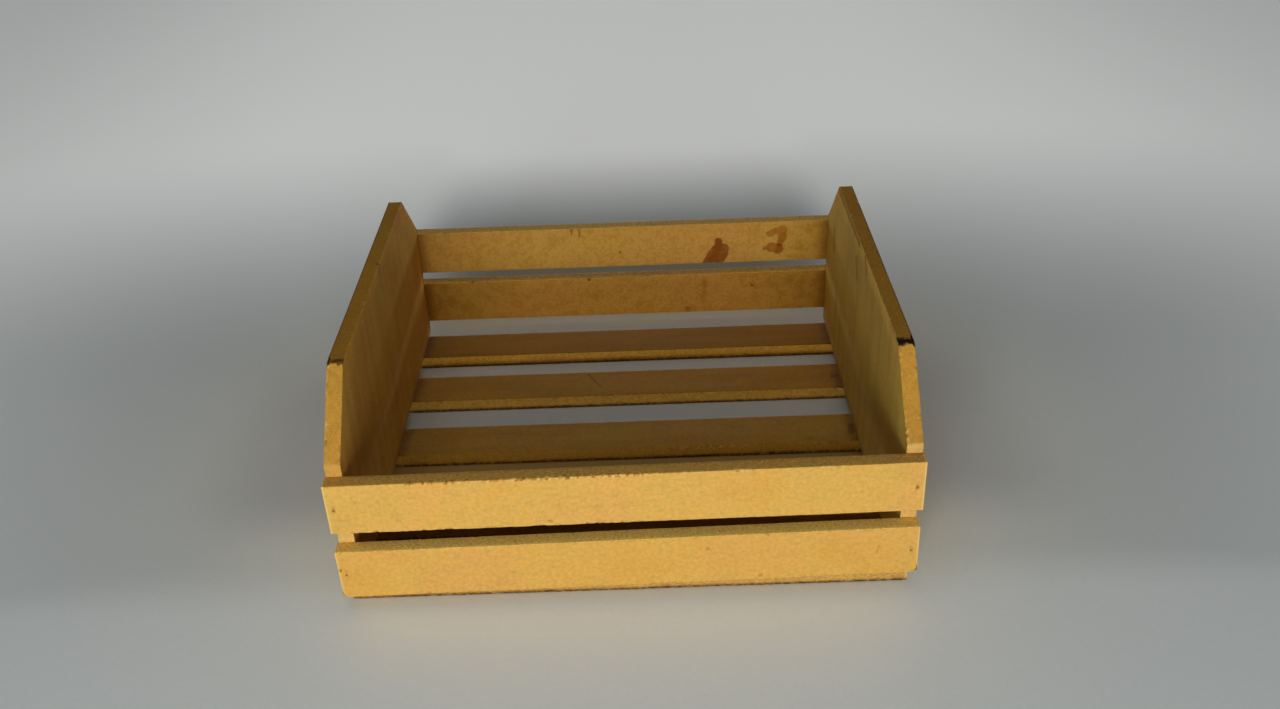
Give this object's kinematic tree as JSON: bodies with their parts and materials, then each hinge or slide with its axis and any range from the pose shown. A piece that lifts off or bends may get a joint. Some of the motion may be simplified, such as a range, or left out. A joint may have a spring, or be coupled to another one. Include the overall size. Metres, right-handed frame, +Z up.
{
  "type": "storage crate",
  "caption": "Small open storage crate of sawn fibreboard: solid end panels with clipped top corners, nailed front, back and bottom slats.",
  "frame": {"origin": "middle of the crate's footprint, on the surface that it stands on", "axes": "+X to the right along the slats, +Y to the back, +Z up; the front faces -Y"},
  "size_m": [0.3198, 0.308, 0.134],
  "materials": {
    "end_panels": "golden varnished fibreboard, satin, with handled edges",
    "wall_slats": "golden varnished fibreboard, satin, with rough sawn edges",
    "bottom_slats": "golden varnished fibreboard, satin, a little stained",
    "brads": "dark oxidised steel"
  },
  "bodies": {
    "root": {"back_lower_brad_left": "brads", "back_lower_brad_right": "brads", "back_lower_slat": "wall_slats", "back_upper_brad_left": "brads", "back_upper_brad_right": "brads", "back_upper_slat": "wall_slats", "bottom_1_brad_left": "brads", "bottom_1_brad_right": "brads", "bottom_1_slat": "bottom_slats", "bottom_2_brad_left": "brads", "bottom_2_brad_right": "brads", "bottom_2_slat": "bottom_slats", "bottom_3_brad_left": "brads", "bottom_3_brad_right": "brads", "bottom_3_slat": "bottom_slats", "bottom_4_brad_left": "brads", "bottom_4_brad_right": "brads", "bottom_4_slat": "bottom_slats", "bottom_5_brad_left": "brads", "bottom_5_brad_right": "brads", "bottom_5_slat": "bottom_slats", "front_lower_brad_left": "brads", "front_lower_brad_right": "brads", "front_lower_slat": "wall_slats", "front_upper_brad_left": "brads", "front_upper_brad_right": "brads", "front_upper_slat": "wall_slats", "left_end_panel": "end_panels", "right_end_panel": "end_panels"}
  },
  "joints": []
}
